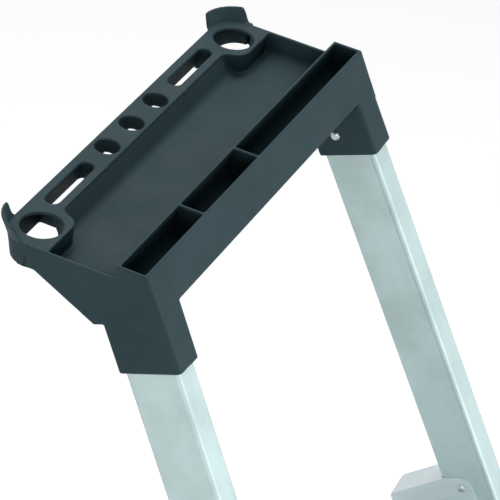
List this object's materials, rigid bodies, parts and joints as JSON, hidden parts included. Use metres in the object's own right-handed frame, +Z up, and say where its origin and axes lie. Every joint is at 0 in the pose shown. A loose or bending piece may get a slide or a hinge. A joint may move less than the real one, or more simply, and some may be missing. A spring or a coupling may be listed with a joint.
{
  "type": "step ladder",
  "caption": "Folding platform step ladder: leaning aluminium stiles with ribbed treads, a hinged platform and rear section, and a moulded tool tray on its guard rail.",
  "frame": {"origin": "on the floor, at the centre of the box around the opened ladder", "axes": "+Z up, +X to the climber's right, +Y from the climber towards the rear legs"},
  "size_m": [0.5882, 0.9896, 1.5431],
  "materials": {
    "satin_aluminium": "satin extrusion with fine lengthwise drawing lines",
    "bright_aluminium": "bright pressed sheet",
    "slate_plastic": "finely grained moulding, dark slate",
    "black_plastic": "dull black moulding",
    "pale_nylon": "smooth nylon",
    "rivet_steel": "bright zinc plate"
  },
  "bodies": {
    "front_section": {"tool_tray": "slate_plastic", "left_front_stile": "satin_aluminium", "right_front_stile": "satin_aluminium", "lower_tread": "satin_aluminium", "middle_tread": "satin_aluminium", "upper_tread": "satin_aluminium", "tread_cleats": "bright_aluminium", "tread_rivets": "rivet_steel", "tray_rivets": "rivet_steel", "left_hinge_bracket": "bright_aluminium", "right_hinge_bracket": "bright_aluminium", "bracket_rivets": "rivet_steel", "rear_pivot_pins": "rivet_steel", "platform_pivot_plates": "bright_aluminium", "platform_pivot_pins": "rivet_steel", "platform_spacers": "black_plastic", "left_front_foot": "black_plastic", "right_front_foot": "black_plastic"},
    "platform": {"platform_deck": "satin_aluminium", "left_platform_rail": "bright_aluminium", "right_platform_rail": "bright_aluminium", "platform_nosing": "slate_plastic", "platform_hooks": "slate_plastic", "platform_bushes": "black_plastic", "platform_rivets": "rivet_steel"},
    "rear_section": {"left_rear_leg": "satin_aluminium", "right_rear_leg": "satin_aluminium", "rear_leg_caps": "black_plastic", "rear_pivot_bushes": "pale_nylon", "platform_rest_tube": "satin_aluminium", "rest_tube_sockets": "slate_plastic", "upper_rear_brace": "satin_aluminium", "lower_rear_brace": "satin_aluminium", "diagonal_struts": "satin_aluminium", "strut_washers": "black_plastic", "rear_brace_rivets": "rivet_steel", "left_rear_foot": "black_plastic", "right_rear_foot": "black_plastic"}
  },
  "joints": [
    {"name": "rear_fold", "type": "hinge", "parent": "front_section", "child": "rear_section", "pos_m": [0, 0.14439, 1.06746], "axis": [-1, 0, 0], "range_deg": [0, 44]},
    {"name": "platform_lift", "type": "hinge", "parent": "front_section", "child": "platform", "pos_m": [0, 0.01111, 0.931], "axis": [1, 0, 0], "range_deg": [0, 63]}
  ],
  "couplings": [
    {"joint": "platform_lift", "follows": "rear_fold", "ratio": 1.43}
  ]
}
